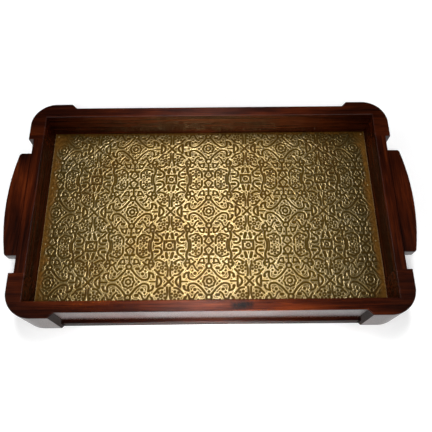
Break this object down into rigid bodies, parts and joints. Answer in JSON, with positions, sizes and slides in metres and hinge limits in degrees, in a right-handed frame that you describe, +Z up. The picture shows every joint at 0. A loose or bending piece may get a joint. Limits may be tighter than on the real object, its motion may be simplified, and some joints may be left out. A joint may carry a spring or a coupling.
{
  "type": "serving tray",
  "caption": "Rectangular serving tray: dark lacquered hardwood frame with rounded corner blocks and bowed lug handles round a floor of embossed sheet brass.",
  "frame": {"origin": "middle of the base, on the surface that the tray stands on", "axes": "+X along the tray towards the right handle, +Y from the front rail to the back rail, +Z up"},
  "size_m": [0.443, 0.253, 0.052],
  "materials": {
    "lacquered_hardwood": "dark reddish brown stain under glossy lacquer",
    "embossed_brass": "embossed sheet with a dark patina in the hollows and polished high lines",
    "pin_brass": "satin",
    "plywood": "stained, unpolished",
    "dowel_wood": "bare"
  },
  "bodies": {
    "root": {"front_rail": "lacquered_hardwood", "back_rail": "lacquered_hardwood", "left_rail": "lacquered_hardwood", "right_rail": "lacquered_hardwood", "corner_block_front_left": "lacquered_hardwood", "corner_block_front_right": "lacquered_hardwood", "corner_block_back_left": "lacquered_hardwood", "corner_block_back_right": "lacquered_hardwood", "front_base_strip": "lacquered_hardwood", "back_base_strip": "lacquered_hardwood", "left_base_strip": "lacquered_hardwood", "right_base_strip": "lacquered_hardwood", "left_handle": "lacquered_hardwood", "right_handle": "lacquered_hardwood", "base_panel": "plywood", "brass_sheet": "embossed_brass", "sheet_pins": "pin_brass", "rail_dowels": "dowel_wood", "handle_dowels": "dowel_wood"}
  },
  "joints": []
}
